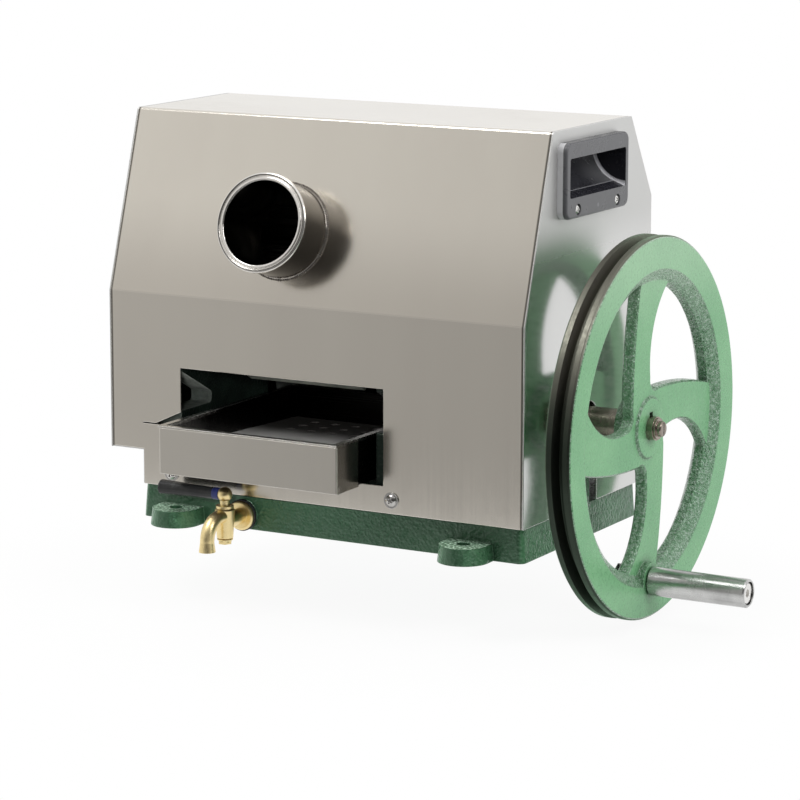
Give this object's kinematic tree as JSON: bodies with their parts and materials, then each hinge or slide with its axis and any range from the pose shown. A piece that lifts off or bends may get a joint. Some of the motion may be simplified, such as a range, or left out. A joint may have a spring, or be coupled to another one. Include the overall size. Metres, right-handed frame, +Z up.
{
  "type": "manual sugarcane juicer",
  "caption": "Hand-cranked roller juicer for sugarcane: folded stainless hood, cast base with bolt lugs, feed tube, juice tray, brass tap and cast handwheel with a turning grip.",
  "frame": {"origin": "centre of the four foot bolts, on the underside of the base casting", "axes": "+X towards the handwheel, along the roller and shaft axes; +Y to the back, where the crushed cane leaves; +Z up"},
  "size_m": [0.5316, 0.317, 0.3889],
  "materials": {
    "hood_sheet": "satin stainless sheet",
    "tray_sheet": "satin stainless sheet, slightly worn",
    "base_paint": "green paint on a rough casting",
    "frame_paint": "green paint on a rough casting",
    "wheel_paint": "light green hammered paint on a casting",
    "machined_steel": "machined steel",
    "gear_steel": "cut and oiled steel",
    "shaft_steel": "brownish turned steel",
    "bright_steel": "polished steel",
    "fastener_steel": "bright screws and bolts",
    "bush_bronze": "bearing bronze",
    "tap_brass": "polished brass",
    "seal_rubber": "black rubber",
    "handle_plastic": "dark grey moulded plastic",
    "lever_plastic": "black plastic",
    "collar_plastic": "navy plastic"
  },
  "bodies": {
    "machine": {"bagasse_chute": "hood_sheet", "base_casting": "base_paint", "feed_tube": "hood_sheet", "frame_bolts": "fastener_steel", "front_tie_bar": "frame_paint", "handle_screws": "fastener_steel", "hood_screws": "fastener_steel", "hood_side_left": "hood_sheet", "hood_side_right": "hood_sheet", "hood_wrap": "hood_sheet", "left_carry_handle": "handle_plastic", "left_roller_bushes": "bush_bronze", "left_side_frame": "frame_paint", "rear_tie_bar": "frame_paint", "right_carry_handle": "handle_plastic", "right_roller_bushes": "bush_bronze", "right_side_frame": "frame_paint", "shaft_bushes": "bush_bronze", "tap_body": "tap_brass", "tap_gasket": "seal_rubber", "tap_locknut": "tap_brass", "tie_bar_bolts": "fastener_steel", "turner_plate": "machined_steel"},
    "handwheel": {"handwheel": "wheel_paint", "drive_shaft": "shaft_steel", "hub_key": "machined_steel", "hub_screw": "fastener_steel", "drive_pinion": "gear_steel", "crank_pin": "fastener_steel", "crank_nut": "fastener_steel"},
    "grip": {"crank_grip": "bright_steel"},
    "top_roller": {"top_roller": "machined_steel", "top_roller_gear": "gear_steel", "top_roller_end_screws": "fastener_steel"},
    "front_roller": {"front_roller": "machined_steel", "front_roller_gear": "gear_steel", "front_roller_end_screws": "fastener_steel"},
    "rear_roller": {"rear_roller": "machined_steel", "rear_roller_gear": "gear_steel", "rear_roller_end_screws": "fastener_steel", "bull_gear": "gear_steel"},
    "tray": {"juice_tray": "tray_sheet", "tray_front_panel": "tray_sheet", "strainer_plate": "tray_sheet"},
    "tap_plug": {"tap_plug": "tap_brass", "tap_lever": "lever_plastic", "tap_lever_collar": "collar_plastic", "tap_bottom_nut": "tap_brass"}
  },
  "joints": [
    {"name": "handwheel_spin", "type": "hinge", "parent": "machine", "child": "handwheel", "pos_m": [0.15, 0, 0.0963], "axis": [1, 0, 0], "continuous": true},
    {"name": "grip_spin", "type": "hinge", "parent": "handwheel", "child": "grip", "pos_m": [0.2829, -0.003, -0.0264], "axis": [1, 0, 0], "continuous": true},
    {"name": "top_roller_spin", "type": "hinge", "parent": "machine", "child": "top_roller", "pos_m": [-0.0395, -0.012, 0.24344], "axis": [1, 0, 0], "continuous": true},
    {"name": "front_roller_spin", "type": "hinge", "parent": "machine", "child": "front_roller", "pos_m": [-0.0395, -0.048, 0.19544], "axis": [1, 0, 0], "continuous": true},
    {"name": "rear_roller_spin", "type": "hinge", "parent": "machine", "child": "rear_roller", "pos_m": [-0.0395, 0.024, 0.19544], "axis": [1, 0, 0], "continuous": true},
    {"name": "tray_slide", "type": "slide", "parent": "machine", "child": "tray", "axis": [0, -1, 0], "range_m": [-0.008, 0.15]},
    {"name": "tap_turn", "type": "hinge", "parent": "machine", "child": "tap_plug", "pos_m": [-0.0749, -0.1312, 0.0116], "axis": [0, 0, 1], "range_deg": [0, 90]}
  ],
  "couplings": [
    {"joint": "rear_roller_spin", "follows": "handwheel_spin", "ratio": -0.30769},
    {"joint": "top_roller_spin", "follows": "handwheel_spin", "ratio": 0.30769},
    {"joint": "front_roller_spin", "follows": "handwheel_spin", "ratio": -0.30769}
  ]
}
